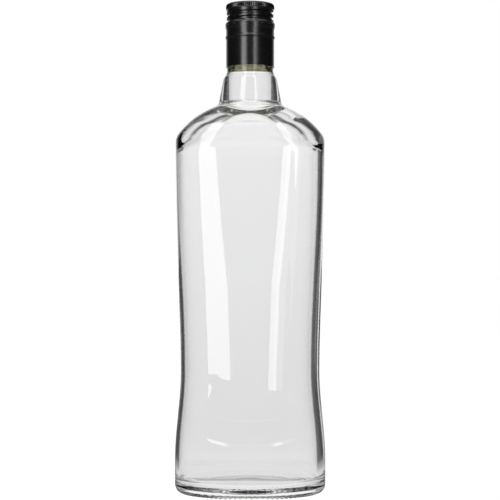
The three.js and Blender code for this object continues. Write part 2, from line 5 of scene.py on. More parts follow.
import bpy
import numpy as np
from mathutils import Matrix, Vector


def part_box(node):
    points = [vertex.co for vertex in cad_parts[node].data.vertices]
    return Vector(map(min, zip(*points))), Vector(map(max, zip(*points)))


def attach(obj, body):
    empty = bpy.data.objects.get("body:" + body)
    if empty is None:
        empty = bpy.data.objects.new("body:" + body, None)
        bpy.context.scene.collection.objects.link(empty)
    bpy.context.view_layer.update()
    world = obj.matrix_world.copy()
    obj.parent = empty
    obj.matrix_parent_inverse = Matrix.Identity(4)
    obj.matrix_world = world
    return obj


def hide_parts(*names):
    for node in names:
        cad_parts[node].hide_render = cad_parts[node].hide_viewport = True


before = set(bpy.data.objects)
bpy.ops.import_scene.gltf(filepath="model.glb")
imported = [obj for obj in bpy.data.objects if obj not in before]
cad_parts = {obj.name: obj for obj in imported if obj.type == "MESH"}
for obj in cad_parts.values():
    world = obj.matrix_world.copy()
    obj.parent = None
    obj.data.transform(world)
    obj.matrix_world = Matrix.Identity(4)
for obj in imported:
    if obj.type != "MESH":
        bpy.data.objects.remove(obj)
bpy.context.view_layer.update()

MM = 0.001
FULL_TURN = 2 * math.pi

# Heights and half-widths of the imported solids, in millimetres.
cap_low, cap_high = (corner[2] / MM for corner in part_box("cap_shell"))
band_low, band_high = (corner[2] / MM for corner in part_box("tamper_band"))
body_half_width, body_half_depth, mouth_z = (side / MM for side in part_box("bottle")[1])

# Body, shoulder, neck and foot. All lengths are in millimetres.
# A station is a height, the draw-in of the sides and of the faces, how square the oval is, and how fast
# it widens there.
STATIONS = (
    (0, 0, 0, 2.1, 0),
    (22, 0, 0, 2.1, 0),
    (80, 3.85, 0.6, 2.2, 0),
    (135, 2.5, 0.5, 2.3, 0.03),
    (232, 0.6, 0.3, 3.1, 0.01),
)
SHOULDER_Z = 232
DOME_RADIUS = 58
DOME_EDGE_TILT = math.radians(34.7)
SHOULDER_ROUNDING = 3.2
SHOULDER_SQUARING = 1.6
NECK_BASE_RADIUS = 20.9
NECK_FILLET = 2.4
CONE_HEIGHT = 17.7
CONE_TOP_RADIUS = 17.5
CONE_ROUNDING = 1.6
FLARE_HEIGHT = 5.2
FLARE_START_INSET = 0.8
FLARE_START_RISE = 1.1
FLARE_BEND_OFFSET = 0.3
FLARE_BEND_SHARE = 0.55
HEEL_RADIUS = 6
FOOT_RING_WIDTH = 4
FOOT_RING_TOP = 1.6
PUNT_HEIGHT = 4.5
STIPPLE_DEPTH = 1.0
STIPPLE_OUTER_FADE = (1, 3)
STIPPLE_INNER_FADE = (0, 1.4)

# Label panels, one on each broad face. Softness is half the width of an edge.
PANEL_DEPTH = 0.5
PANEL_LOW_HALF_WIDTH = 26
PANEL_LOW_Z = 82
PANEL_HIGH_HALF_WIDTH = 30.5
PANEL_HIGH_Z = 222
PANEL_HEAD_Z = 223
PANEL_HEAD_ARCH = 8.5
PANEL_FOOT_Z = 38
PANEL_FOOT_SAG = 4
PANEL_SIDE_SOFTNESS = 3
PANEL_HEAD_SOFTNESS = 1.6
PANEL_FOOT_SOFTNESS = 0.6

# Walls of the glass.
SIDE_WALL = 3.5
SIDE_WALL_UPPER = 2.5
SIDE_WALL_THINS = (110, 200)
FACE_WALL = 2.8
FLOOR_THICKNESS = 6.5
INNER_HEEL_RADIUS = 7
SHOULDER_THICKNESS = 3.6
INNER_DOME_RADIUS = 58
INNER_SHOULDER_ROUNDING = 5
CAVITY_SHIFT = -1.0
CAVITY_SHIFT_RADII = (14.2, 30)
BORE_RADIUS = 10.2
BORE_TAPER = 15
BORE_BEND_SHARE = 0.6
THROAT_RADIUS = 13.9
THROAT_TOP_RISE = 2
THROAT_ROUNDING = 4.5

# Closure, finish and thread.
CLOSURE_RADIUS = 15.75
CLOSURE_WALL = 0.25
COLLAR_RADIUS = 15.1
COLLAR_HEIGHT = 5
COLLAR_BEND = 0.8
COLLAR_STEP = 1.3
ROOT_RADIUS = 13.8
LOCK_RING_DROP = 0.5
LOCK_RING_HEIGHT = 3.4
LOCK_RING_SLOPE = 1.3
LOCK_RING_BEND = 0.6
MOUTH_ROUNDING = 1.2
BORE_ROUNDING = 0.7
RIDGE_HEIGHT = 1.1
RIDGE_HALF_WIDTHS = (0.3, 0.95)
PITCH = 3.63
THREAD_RUNOUT = 0.12
THREAD_END_DROP = 0.5
GROOVE_DEPTH = 1.1
GROOVE_HALF_WIDTHS = (0.45, 1.2)
GROOVE_TOP_DROP = 5.3
GROOVE_TOP_ANGLE = math.radians(60)
CAP_CORNER = 1.7
CEILING_DROP = 5
CAP_BEAD_HEIGHT = 2.4
CAP_BEAD_FLAT = 0.5
BEAD_RISE = 0.5
GRIP_INSET = 0.35
CROWN_HEIGHT = 3.4
CROWN_OUTSET = 0.1
CROWN_SLOPE = (-0.9, 0.2)
KNURLS = 84
KNURL_DEPTH = 0.26
BRIDGES = 8
BRIDGE_PHASE = 0.875
BRIDGE_SIZE = (0.3, 1.0, 0.5)
BRIDGE_INSET = 0.1
BAND_FLARE_DROPS = (3.6, 0.6)
BAND_BEAD_DROP = 7.9
BAND_BEAD_RISE = 0.5
BAND_BEAD_HALF_HEIGHT = 0.95
BAND_FINE_HEIGHT = 12

# Fineness of the meshes: steps round the axis, and gaps between rings.
GLASS_STEPS = 255
STIPPLES = GLASS_STEPS // 3
METAL_STEPS = 336
RING_GAP = 3.4
CAVITY_RING_GAP = 3.8
PANEL_FOOT_ZONE = (32, 42)
PANEL_FOOT_RING_GAP = 0.5
PANEL_HEAD_ZONE = 212
PANEL_HEAD_RING_GAP = 1.4
FOOT_RING_GAP = 0.7
CONE_RING_GAP = 1.6
COLLAR_RING_GAP = 1.5
ROOT_RING_GAP = 3
THREAD_RING_GAP = 0.42
BORE_RING_GAP = 4
THROAT_RING_GAP = 2.5
INNER_DOME_RING_GAP = 1.2
CAP_RING_GAP = 0.22
BAND_RING_GAP = 0.25
SKIRT_RING_GAP = 3
DOME_ARC_GAP = 0.025
HEEL_ARC_GAP = 0.13
ARC_GAP = 0.16
MERGE_DISTANCE = 0.01
DISC_SHARES = (0.8, 0.6, 0.4, 0.2, 0.02)

# Studio, in metres. A look is the brightness that a kind of ray sees.
CAMERA_PLACE = (-0.0001, -0.915, 0.159)
CAMERA_LENS = 100.4
STRIP_HEIGHT = 0.73
STRIP_LENGTH = 1.4
OVERHEAD_TILT = math.radians(33.5)
FLOOR_SIZE = 12
MIRRORED_FLOOR_LOOK = 0.07
SHADOW_SHARE = 0.12
PLAIN_LIGHT = 0.4
LIGHT_THROUGH_GLASS = 1.3


class Value:
    """A shader socket that can be used in plain arithmetic."""

    def __init__(self, tree, socket):
        self.tree = tree
        self.socket = socket

    def _math(self, operation, first, second=None):
        node = self.tree.nodes.new("ShaderNodeMath")
        node.operation = operation
        for slot, value in zip(node.inputs, (first, second)):
            if isinstance(value, Value):
                self.tree.links.new(value.socket, slot)
            elif value is not None:
                slot.default_value = value
        return Value(self.tree, node.outputs[0])

    def __add__(self, other):
        return self._math("ADD", self, other)

    def __radd__(self, other):
        return self._math("ADD", other, self)

    def __sub__(self, other):
        return self._math("SUBTRACT", self, other)

    def __rsub__(self, other):
        return self._math("SUBTRACT", other, self)

    def __mul__(self, other):
        return self._math("MULTIPLY", self, other)

    def __rmul__(self, other):
        return self._math("MULTIPLY", other, self)

    def __truediv__(self, other):
        return self._math("DIVIDE", self, other)

    def __rtruediv__(self, other):
        return self._math("DIVIDE", other, self)

    def above(self, limit):
        return self._math("GREATER_THAN", self, limit)

    def at_most(self, limit):
        return self._math("MINIMUM", self, limit)

    def at_least(self, limit):
        return self._math("MAXIMUM", self, limit)

    def size(self):
        return self._math("ABSOLUTE", self)

    def root(self):
        return self._math("SQRT", self)

    def clipped(self):
        return self.at_least(0).at_most(1)


class Shader:
    """The node tree of one material or of the world."""

    def __init__(self, owner):
        owner.use_nodes = True
        self.tree = owner.node_tree
        self.tree.nodes.clear()

    def node(self, kind, settings=None, output=0, **sockets):
        """Adds a node. In a socket's name _ stands for a space, and i1 is the socket with number 1."""
        made = self.tree.nodes.new(kind)
        for name, value in (settings or {}).items():
            if name == "stops":
                self.set_stops(made.color_ramp, value)
            else:
                setattr(made, name, value)
        for name, value in sockets.items():
            self.plug(made, name.replace("_", " "), value)
        return Value(self.tree, made.outputs[output]) if len(made.outputs) else made

    def set_stops(self, ramp, stops):
        while len(ramp.elements) < len(stops):
            ramp.elements.new(0.5)
        for element, (place, colour) in zip(ramp.elements, stops):
            element.position = place
            element.color = (*colour, 1)

    def plug(self, node, name, value):
        slot = node.inputs[int(name[1:])] if name[0] == "i" and name[1:].isdigit() else node.inputs[name]
        if isinstance(value, Value):
            self.tree.links.new(value.socket, slot)
        else:
            slot.default_value = value

    def split(self, vector):
        return [self.node("ShaderNodeSeparateXYZ", output=axis, Vector=vector) for axis in range(3)]

    def path(self, name):
        return self.node("ShaderNodeLightPath", output=name)

    def ramp(self, factor, stops):
        return self.node("ShaderNodeValToRGB", {"stops": stops}, Fac=factor)

    def object_place(self):
        return self.node("ShaderNodeTexCoord", output="Object")


def smooth(value, low, high):
    """0 below low, 1 above high, and a smooth rise between."""
    share = np.clip((np.asarray(value, dtype=float) - low) / (high - low), 0, 1)
    return share * share * (3 - 2 * share)


def body_section(z):
    """Half-width, half-depth and squareness of the body at a height."""
    upper = next((i for i, station in enumerate(STATIONS) if station[0] >= z), len(STATIONS) - 1)
    low, high = STATIONS[max(upper, 1) - 1], STATIONS[max(upper, 1)]
    span = high[0] - low[0]
    t = (z - low[0]) / span
    ease = 3 * t**2 - 2 * t**3
    lean = span * (low[4] * (t**3 - 2 * t**2 + t) + high[4] * (t**3 - t**2))
    side, face, square = (low[i] + (high[i] - low[i]) * share for i, share in ((1, ease), (2, ease), (3, t)))
    width = body_half_width - side + lean
    depth = body_half_depth - face + lean * body_half_depth / body_half_width
    return width, depth, square


def levels(start, end, gap):
    """Evenly spaced values from start to end, both kept."""
    return list(np.linspace(start, end, max(2, int(math.ceil(abs(end - start) / gap)) + 1)))


def bend(start, corner, end, steps):
    """Points of a curve that leaves start and reaches end, turning round a corner."""
    points = []
    for i in range(steps + 1):
        t = i / steps
        points.append(
            tuple((1 - t) ** 2 * a + 2 * t * (1 - t) * b + t**2 * c for a, b, c in zip(start, corner, end))
        )
    return points


def dome_point(angle):
    """Radius and height of a point on the shoulder dome."""
    centre_r = body_section(SHOULDER_Z)[0] - DOME_RADIUS * math.cos(DOME_EDGE_TILT)
    centre_z = SHOULDER_Z - DOME_RADIUS * math.sin(DOME_EDGE_TILT)
    return centre_r + DOME_RADIUS * math.cos(angle), centre_z + DOME_RADIUS * math.sin(angle)


def dome_angle(radius):
    """Where on the shoulder dome a radius is reached."""
    centre_r = body_section(SHOULDER_Z)[0] - DOME_RADIUS * math.cos(DOME_EDGE_TILT)
    return math.acos((radius - centre_r) / DOME_RADIUS)


neck_base_z = dome_point(dome_angle(NECK_BASE_RADIUS))[1]
cone_top_z = neck_base_z + CONE_HEIGHT
flare_top_z = cone_top_z + FLARE_HEIGHT


def shoulder_ring(radius, z, neck_radius, edge):
    """A ring between the round neck and the shoulder's oval edge, by how far it has grown."""
    width, depth, square = edge
    share = max(0, (radius - neck_radius) / (width - neck_radius))
    half_depth = min(radius, neck_radius) + (depth - neck_radius) * share
    return radius, half_depth, 2 + (square - 2) * min(1, SHOULDER_SQUARING * share), z


def foot_rings():
    """Underside of the bottle: the push-up, the ring it stands on and the heel."""
    width, depth, square = body_section(HEEL_RADIUS)
    reach = HEEL_RADIUS + FOOT_RING_WIDTH
    rings = []
    for share in (*reversed(DISC_SHARES[1:]), 0.75, 0.88, 0.96, 1):
        rings.append(((width - reach) * share, (depth - reach) * share, square, PUNT_HEIGHT * (1 - share**2)))
    for inset in levels(reach, HEEL_RADIUS, FOOT_RING_GAP)[1:]:
        rings.append((width - inset, depth - inset, square, 0))
    for angle in levels(0, math.pi / 2, HEEL_ARC_GAP)[1:]:
        inset = HEEL_RADIUS * (1 - math.sin(angle))
        rings.append((width - inset, depth - inset, square, HEEL_RADIUS * (1 - math.cos(angle))))
    return rings


def outer_wall_rings():
    """Side wall and shoulder dome, up to the foot of the neck."""
    top = SHOULDER_Z - SHOULDER_ROUNDING
    foot_low, foot_high = PANEL_FOOT_ZONE
    heights = levels(HEEL_RADIUS, foot_low, RING_GAP)[1:]
    heights += levels(foot_low, foot_high, PANEL_FOOT_RING_GAP)[1:]
    heights += levels(foot_high, PANEL_HEAD_ZONE, RING_GAP)[1:]
    heights += levels(PANEL_HEAD_ZONE, top, PANEL_HEAD_RING_GAP)[1:]
    rings = [(*body_section(z), z) for z in heights]
    edge = body_section(SHOULDER_Z)
    start = DOME_EDGE_TILT + SHOULDER_ROUNDING / DOME_RADIUS
    end = dome_angle(NECK_BASE_RADIUS + NECK_FILLET)
    points = bend((rings[-1][0], top), (edge[0], SHOULDER_Z), dome_point(start), 8)[1:]
    points += [dome_point(angle) for angle in levels(start, end, DOME_ARC_GAP)[1:]]
    rings += [shoulder_ring(radius, z, NECK_BASE_RADIUS, edge) for radius, z in points]
    return rings


def cone_radius(z):
    """Radius of the neck cone at a height."""
    return NECK_BASE_RADIUS - (NECK_BASE_RADIUS - CONE_TOP_RADIUS) * (z - neck_base_z) / CONE_HEIGHT


def cone_and_flare():
    """Radius and height of the neck cone, and of the flare that narrows it to the collar."""
    start = dome_point(dome_angle(NECK_BASE_RADIUS + NECK_FILLET))
    fillet_top = neck_base_z + NECK_FILLET
    points = bend(start, (NECK_BASE_RADIUS, neck_base_z), (cone_radius(fillet_top), fillet_top), 8)[1:]
    points += [(cone_radius(z), z) for z in levels(fillet_top, cone_top_z - CONE_ROUNDING, CONE_RING_GAP)[1:]]
    flare = (CONE_TOP_RADIUS - FLARE_START_INSET, cone_top_z + FLARE_START_RISE)
    points += bend(points[-1], (CONE_TOP_RADIUS, cone_top_z), flare, 6)[1:]
    knee = (COLLAR_RADIUS + FLARE_BEND_OFFSET, cone_top_z + FLARE_HEIGHT * FLARE_BEND_SHARE)
    points += bend(flare, knee, (COLLAR_RADIUS, flare_top_z), 8)[1:]
    return points


def finish_points():
    """Radius and height of collar, locking ring and thread root, up to the mouth and into the bore."""
    lock_top = cap_low - LOCK_RING_DROP
    lock_low = lock_top - LOCK_RING_HEIGHT
    collar_top = band_low + COLLAR_HEIGHT
    root_low = collar_top + COLLAR_STEP
    points = [(COLLAR_RADIUS, z) for z in levels(flare_top_z, collar_top, COLLAR_RING_GAP)[1:]]
    points += bend(points[-1], (COLLAR_RADIUS, collar_top + COLLAR_BEND), (ROOT_RADIUS, root_low), 4)[1:]
    points += [(ROOT_RADIUS, z) for z in levels(root_low, lock_low - LOCK_RING_SLOPE, ROOT_RING_GAP)[1:]]
    points += bend(points[-1], (COLLAR_RADIUS, lock_low - LOCK_RING_BEND), (COLLAR_RADIUS, lock_low), 5)[1:]
    points += [(COLLAR_RADIUS, lock_top - LOCK_RING_SLOPE)]
    points += bend(points[-1], (COLLAR_RADIUS, lock_top), (ROOT_RADIUS, lock_top), 5)[1:]
    points += [(ROOT_RADIUS, z) for z in levels(lock_top, mouth_z - MOUTH_ROUNDING, THREAD_RING_GAP)[1:]]
    points += bend(points[-1], (ROOT_RADIUS, mouth_z), (ROOT_RADIUS - MOUTH_ROUNDING, mouth_z), 6)[1:]
    bore_top = (BORE_RADIUS, mouth_z - BORE_ROUNDING)
    points += bend((BORE_RADIUS + BORE_ROUNDING, mouth_z), (BORE_RADIUS, mouth_z), bore_top, 5)
    return points


def cavity_section(z):
    """Half-width, half-depth and squareness of the cavity at a height."""
    width, depth, square = body_section(z)
    side = SIDE_WALL - (SIDE_WALL - SIDE_WALL_UPPER) * float(smooth(z, *SIDE_WALL_THINS))
    return width - side, depth - FACE_WALL, square


def bore_and_dome():
    """Radius and height of the bore, the throat and the dome inside the shoulder, down to the side wall."""
    top = neck_base_z - SHOULDER_THICKNESS

    def dome_z(radius):
        return top - INNER_DOME_RADIUS + math.sqrt(INNER_DOME_RADIUS**2 - radius**2)

    throat_top = cone_top_z + THROAT_TOP_RISE
    heights = levels(mouth_z - BORE_ROUNDING, cone_top_z + BORE_TAPER, BORE_RING_GAP)[1:]
    points = [(BORE_RADIUS, z) for z in heights]
    knee = (BORE_RADIUS, cone_top_z + BORE_TAPER * BORE_BEND_SHARE)
    points += bend(points[-1], knee, (THROAT_RADIUS, throat_top), 10)[1:]
    heights = levels(throat_top, top + THROAT_ROUNDING, THROAT_RING_GAP)[1:]
    points += [(THROAT_RADIUS, z) for z in heights]
    dome_start = THROAT_RADIUS + THROAT_ROUNDING
    points += bend(points[-1], (THROAT_RADIUS, top), (dome_start, dome_z(dome_start)), 14)[1:]
    dome_end = body_section(SHOULDER_Z)[0] - SIDE_WALL_UPPER
    corner_z = dome_z(dome_end)
    wall_top = corner_z - INNER_SHOULDER_ROUNDING
    radii = levels(dome_start, dome_end - INNER_SHOULDER_ROUNDING, INNER_DOME_RING_GAP)[1:]
    points += [(radius, dome_z(radius)) for radius in radii]
    corner = (cavity_section(corner_z)[0], corner_z)
    points += bend(points[-1], corner, (cavity_section(wall_top)[0], wall_top), 12)[1:-1]
    return points, corner_z, wall_top


def cavity_rings():
    """Inside of the glass, from the bore down to the floor."""
    points, corner_z, wall_top = bore_and_dome()
    edge = cavity_section(corner_z)
    rings = [shoulder_ring(radius, z, THROAT_RADIUS, edge) for radius, z in points]
    heel_top = FLOOR_THICKNESS + INNER_HEEL_RADIUS
    rings += [(*cavity_section(z), z) for z in levels(wall_top, heel_top, CAVITY_RING_GAP)]
    width, depth, square = cavity_section(heel_top)
    for angle in levels(0, math.pi / 2, ARC_GAP)[1:]:
        inset = INNER_HEEL_RADIUS * (1 - math.cos(angle))
        rings.append((width - inset, depth - inset, square, heel_top - INNER_HEEL_RADIUS * math.sin(angle)))
    width, depth, square, _ = rings[-1]
    for share in (0.93, *DISC_SHARES):
        rings.append((width * share, depth * share, square, FLOOR_THICKNESS + PUNT_HEIGHT * (1 - share**2)))
    return rings


def deselect_all():
    bpy.ops.object.select_all(action="DESELECT")


def spin_profile(name, points, steps):
    """Spins (radius, height) points in millimetres round the neck's axis. Each keeps its number."""
    deselect_all()
    mesh = bpy.data.meshes.new(name)
    corners = [(radius * MM, 0, z * MM) for radius, z in points]
    mesh.from_pydata(corners, [(i, i + 1) for i in range(len(points) - 1)], [])
    ring = mesh.attributes.new("ring", "INT", "POINT")
    ring.data.foreach_set("value", list(range(len(points))))
    piece = bpy.data.objects.new(name, mesh)
    bpy.context.scene.collection.objects.link(piece)
    bpy.context.view_layer.objects.active = piece
    piece.select_set(True)
    bpy.ops.object.mode_set(mode="EDIT")
    bpy.ops.mesh.select_all(action="SELECT")
    bpy.ops.mesh.spin(steps=steps, angle=FULL_TURN, center=(0, 0, 0), axis=(0, 0, 1))
    bpy.ops.mesh.select_all(action="SELECT")
    bpy.ops.mesh.remove_doubles(threshold=MERGE_DISTANCE * MM)
    bpy.ops.object.mode_set(mode="OBJECT")
    return piece


def close_and_face_out(piece):
    """Fills the small end circles, turns the faces outwards and smooths the shading."""
    bpy.ops.object.mode_set(mode="EDIT")
    bpy.ops.mesh.select_all(action="DESELECT")
    bpy.ops.mesh.select_mode(type="EDGE")
    bpy.ops.mesh.select_non_manifold()
    bpy.ops.mesh.edge_face_add()
    bpy.ops.mesh.select_all(action="SELECT")
    bpy.ops.mesh.normals_make_consistent(inside=False)
    bpy.ops.object.mode_set(mode="OBJECT")
    for polygon in piece.data.polygons:
        polygon.use_smooth = True


def join_into(piece, extra):
    """Makes an extra object part of a piece."""
    deselect_all()
    extra.select_set(True)
    piece.select_set(True)
    bpy.context.view_layer.objects.active = piece
    bpy.ops.object.join()


def sharpen_edges(piece, degrees=40):
    """Shades edges sharper than the angle as edges, and the rest smooth."""
    deselect_all()
    piece.select_set(True)
    bpy.context.view_layer.objects.active = piece
    bpy.ops.object.shade_smooth_by_angle(angle=math.radians(degrees))


def vertex_table(piece):
    """Coordinates in millimetres and ring numbers of a spun piece."""
    count = len(piece.data.vertices)
    places = np.empty(count * 3)
    piece.data.vertices.foreach_get("co", places)
    rings = np.empty(count, dtype=int)
    piece.data.attributes["ring"].data.foreach_get("value", rings)
    return places.reshape(-1, 3) / MM, rings


def place_vertices(piece, places):
    """Moves a piece's corners to the given places, in millimetres."""
    piece.data.vertices.foreach_set("co", (places * MM).ravel())
    piece.data.update()


def helix_offset(theta, z, top_z):
    """Height above the nearest turn of the thread's centre line, and how complete that turn is."""
    low_z = cap_low + CAP_BEAD_HEIGHT
    turns = (top_z - low_z) / PITCH
    base = top_z + PITCH * (theta - GROOVE_TOP_ANGLE) / FULL_TURN
    lap = np.round((z - base) / PITCH)
    offset = z - base - lap * PITCH
    along = turns + lap + (theta - GROOVE_TOP_ANGLE) / FULL_TURN
    start = smooth(along, -THREAD_RUNOUT, THREAD_RUNOUT)
    end = smooth(-along, -turns - THREAD_RUNOUT, -turns + THREAD_RUNOUT)
    return offset, start * end


def glass_thread_rise(theta, z):
    """How far the raised thread stands out of the finish."""
    offset, fade = helix_offset(theta, z - PITCH / 2, cap_high - GROOVE_TOP_DROP)
    return RIDGE_HEIGHT * fade * (1 - smooth(np.abs(offset), *RIDGE_HALF_WIDTHS))


def panel_depth(x, z):
    """How far a label panel is set back into a broad face."""
    climb = np.clip((z - PANEL_LOW_Z) / (PANEL_HIGH_Z - PANEL_LOW_Z), 0, 1)
    half_width = PANEL_LOW_HALF_WIDTH + (PANEL_HIGH_HALF_WIDTH - PANEL_LOW_HALF_WIDTH) * climb
    head = PANEL_HEAD_Z + PANEL_HEAD_ARCH * (1 - (x / PANEL_HIGH_HALF_WIDTH) ** 2) - z
    foot = z - PANEL_FOOT_Z + PANEL_FOOT_SAG * (1 - (x / PANEL_LOW_HALF_WIDTH) ** 2)
    in_sides = smooth(half_width - np.abs(x), -PANEL_SIDE_SOFTNESS, PANEL_SIDE_SOFTNESS)
    in_head = smooth(head, -PANEL_HEAD_SOFTNESS, PANEL_HEAD_SOFTNESS)
    in_foot = smooth(foot, -PANEL_FOOT_SOFTNESS, PANEL_FOOT_SOFTNESS)
    return PANEL_DEPTH * in_sides * in_head * in_foot


def stipple_dip(theta, z, inset):
    """How far the hollows between the foot ring's stipples go up, by their way in from the heel."""
    width = HEEL_RADIUS + FOOT_RING_WIDTH
    on_ring = (z < FOOT_RING_TOP) & (inset < width)
    fade = smooth(inset, *STIPPLE_OUTER_FADE) * smooth(width - inset, *STIPPLE_INNER_FADE)
    return np.where(on_ring, fade * STIPPLE_DEPTH * (0.5 - 0.5 * np.cos(STIPPLES * theta)), 0)


def make_glass():
    """The blown bottle: one closed skin over the outside, through the mouth and round the cavity."""
    neck = [(radius, radius, 2, z) for radius, z in cone_and_flare() + finish_points()]
    outside = foot_rings() + outer_wall_rings() + neck
    rings = np.array(outside + cavity_rings())
    piece = spin_profile("glass_bottle_clear", [(ring[0], ring[3]) for ring in rings], GLASS_STEPS)
    places, numbers = vertex_table(piece)
    theta = np.arctan2(places[:, 1], places[:, 0])
    across, along = np.cos(theta), np.sin(theta)
    width, depth, square, z = rings[numbers].T
    is_outside = numbers < len(outside)
    x = width * np.sign(across) * np.abs(across) ** (2 / square)
    y = depth * np.sign(along) * np.abs(along) ** (2 / square)
    y = y - np.sign(y) * np.where(is_outside, panel_depth(x, z), 0)
    on_finish = is_outside & (width >= ROOT_RADIUS - MERGE_DISTANCE)
    on_thread = on_finish & (z > cap_low) & (z < mouth_z - THREAD_END_DROP)
    rise = np.where(on_thread, glass_thread_rise(theta, z), 0)
    x = x + rise * across + np.where(is_outside, 0, CAVITY_SHIFT * smooth(width, *CAVITY_SHIFT_RADII))
    y = y + rise * along
    heel_inset = body_section(HEEL_RADIUS)[0] - width
    z = z + np.where(is_outside, stipple_dip(theta, z, heel_inset), 0)
    place_vertices(piece, np.stack([x, y, z], axis=1))
    close_and_face_out(piece)
    return piece


def cap_outline_radius(theta, z):
    """Outside of the cap: knurled crown, plain grip, rolled thread and the flare into the score line."""
    crown_low = cap_high - CROWN_HEIGHT
    crown = smooth(z, crown_low + CROWN_SLOPE[0], crown_low + CROWN_SLOPE[1])
    bead = 1 - smooth(z, cap_low + CAP_BEAD_FLAT, cap_low + CAP_BEAD_HEIGHT)
    radius = CLOSURE_RADIUS - GRIP_INSET + (CROWN_OUTSET + GRIP_INSET) * crown
    radius = radius + (BEAD_RISE + GRIP_INSET) * bead
    teeth = 0.5 + 0.5 * np.cos(KNURLS * theta)
    offset, fade = helix_offset(theta, z, cap_high - GROOVE_TOP_DROP)
    groove = fade * (1 - smooth(np.abs(offset), *GROOVE_HALF_WIDTHS))
    return radius - KNURL_DEPTH * crown * teeth - GROOVE_DEPTH * groove


def cap_profile():
    """Outside of the cap before knurls and thread, from its open rim to the middle of its top."""
    points = [(CLOSURE_RADIUS, z) for z in levels(cap_low, cap_high - CAP_CORNER, CAP_RING_GAP)]
    for angle in levels(0, math.pi / 2, ARC_GAP)[1:]:
        inset = CAP_CORNER * (1 - math.cos(angle))
        points.append((CLOSURE_RADIUS - inset, cap_high - CAP_CORNER * (1 - math.sin(angle))))
    return points + [((CLOSURE_RADIUS - CAP_CORNER) * share, cap_high) for share in (0.9, *DISC_SHARES)]


def add_bridges(cap):
    """Adds the small tabs that cross the score line."""
    reach = (CLOSURE_RADIUS + BEAD_RISE - BRIDGE_INSET) * MM
    for number in range(BRIDGES):
        angle = FULL_TURN * (number + BRIDGE_PHASE) / BRIDGES
        place = (reach * math.cos(angle), reach * math.sin(angle), cap_low * MM)
        bpy.ops.mesh.primitive_cube_add(size=1, location=place, rotation=(0, 0, angle))
        bridge = bpy.context.object
        bridge.scale = [side * MM for side in BRIDGE_SIZE]
        join_into(cap, bridge)


def make_cap():
    """The cap: a thin rolled shell with its top closed, and the bridges on its rim."""
    outer = cap_profile()
    rings = np.array(outer[::-1] + outer)
    # The inner wall is spun a little apart, so that merging doubles doesn't join it to the outer one.
    apart = [(radius - 0.02, z - 0.3) for radius, z in outer[::-1]]
    piece = spin_profile("closure_cap", apart + outer, METAL_STEPS)
    places, numbers = vertex_table(piece)
    theta = np.arctan2(places[:, 1], places[:, 0])
    radius, z = rings[numbers].T
    corner_low = cap_high - CAP_CORNER
    knee = CLOSURE_RADIUS - CAP_CORNER
    shaped = cap_outline_radius(theta, np.minimum(z, corner_low))
    rounded = knee + (shaped - knee) * (radius - knee) / CAP_CORNER
    is_inside = numbers < len(outer)
    is_flat = radius <= knee
    final = np.where(is_flat, radius, np.where(z > corner_low, rounded, shaped))
    final = final - np.where(is_inside & ~is_flat, CLOSURE_WALL, 0)
    z = z - np.where(is_inside & (z > corner_low), CLOSURE_WALL, 0)
    place_vertices(piece, np.stack([final * np.cos(theta), final * np.sin(theta), z], axis=1))
    close_and_face_out(piece)
    add_bridges(piece)
    sharpen_edges(piece)
    return piece


def band_radius(z):
    """Outside of the tamper band: flare under the score line, stop bead and plain skirt."""
    flare_low, flare_high = (band_high - drop for drop in BAND_FLARE_DROPS)
    from_bead = (z - band_high + BAND_BEAD_DROP) / BAND_BEAD_HALF_HEIGHT
    flare = BEAD_RISE * smooth(z, flare_low, flare_high)
    return CLOSURE_RADIUS + flare + BAND_BEAD_RISE * np.exp(-(from_bead**2))


def make_band():
    """The long skirt that stays on the neck."""
    fine_low = band_high - BAND_FINE_HEIGHT
    heights = levels(band_low, fine_low, SKIRT_RING_GAP)[:-1] + levels(fine_low, band_high, BAND_RING_GAP)
    outer = [(float(band_radius(z)), z) for z in heights]
    inner = [(radius - CLOSURE_WALL, z) for radius, z in reversed(outer)]
    piece = spin_profile("closure_band", outer + inner + outer[:1], METAL_STEPS // 2)
    close_and_face_out(piece)
    sharpen_edges(piece)
    return piece


def clear_glass():
    material = bpy.data.materials.new("clear_glass")
    shader = Shader(material)
    spot = shader.object_place()
    waviness = shader.node("ShaderNodeTexNoise", Vector=spot, Scale=22.0, Detail=1.5)
    normal = shader.node("ShaderNodeBump", Strength=0.06, Distance=0.002, Height=waviness)
    height = shader.split(spot)[2] * 3.2
    tone = shader.ramp(height, ((0.0, (0.966, 0.967, 0.967)), (1.0, (0.976, 0.977, 0.977))))
    surface = shader.node(
        "ShaderNodeBsdfPrincipled",
        Base_Color=tone,
        Roughness=0.0,
        IOR=1.5,
        Transmission_Weight=1.0,
        Normal=normal,
    )
    shader.node("ShaderNodeOutputMaterial", Surface=surface)
    return material


def black_lacquer():
    material = bpy.data.materials.new("black_lacquer")
    shader = Shader(material)
    spot = shader.object_place()
    mottle = shader.node("ShaderNodeTexNoise", Vector=spot, Scale=900.0, Detail=3.0)
    smear = shader.node("ShaderNodeTexNoise", Vector=spot, Scale=60.0, Detail=2.0)
    normal = shader.node("ShaderNodeBump", Strength=0.03, Distance=0.0004, Height=mottle)
    surface = shader.node(
        "ShaderNodeBsdfPrincipled",
        Base_Color=(0.003, 0.003, 0.003, 1),
        Roughness=0.2 + smear * 0.12,
        Coat_Weight=0.5,
        Coat_Roughness=0.21,
        Normal=normal,
    )
    shader.node("ShaderNodeOutputMaterial", Surface=surface)
    return material


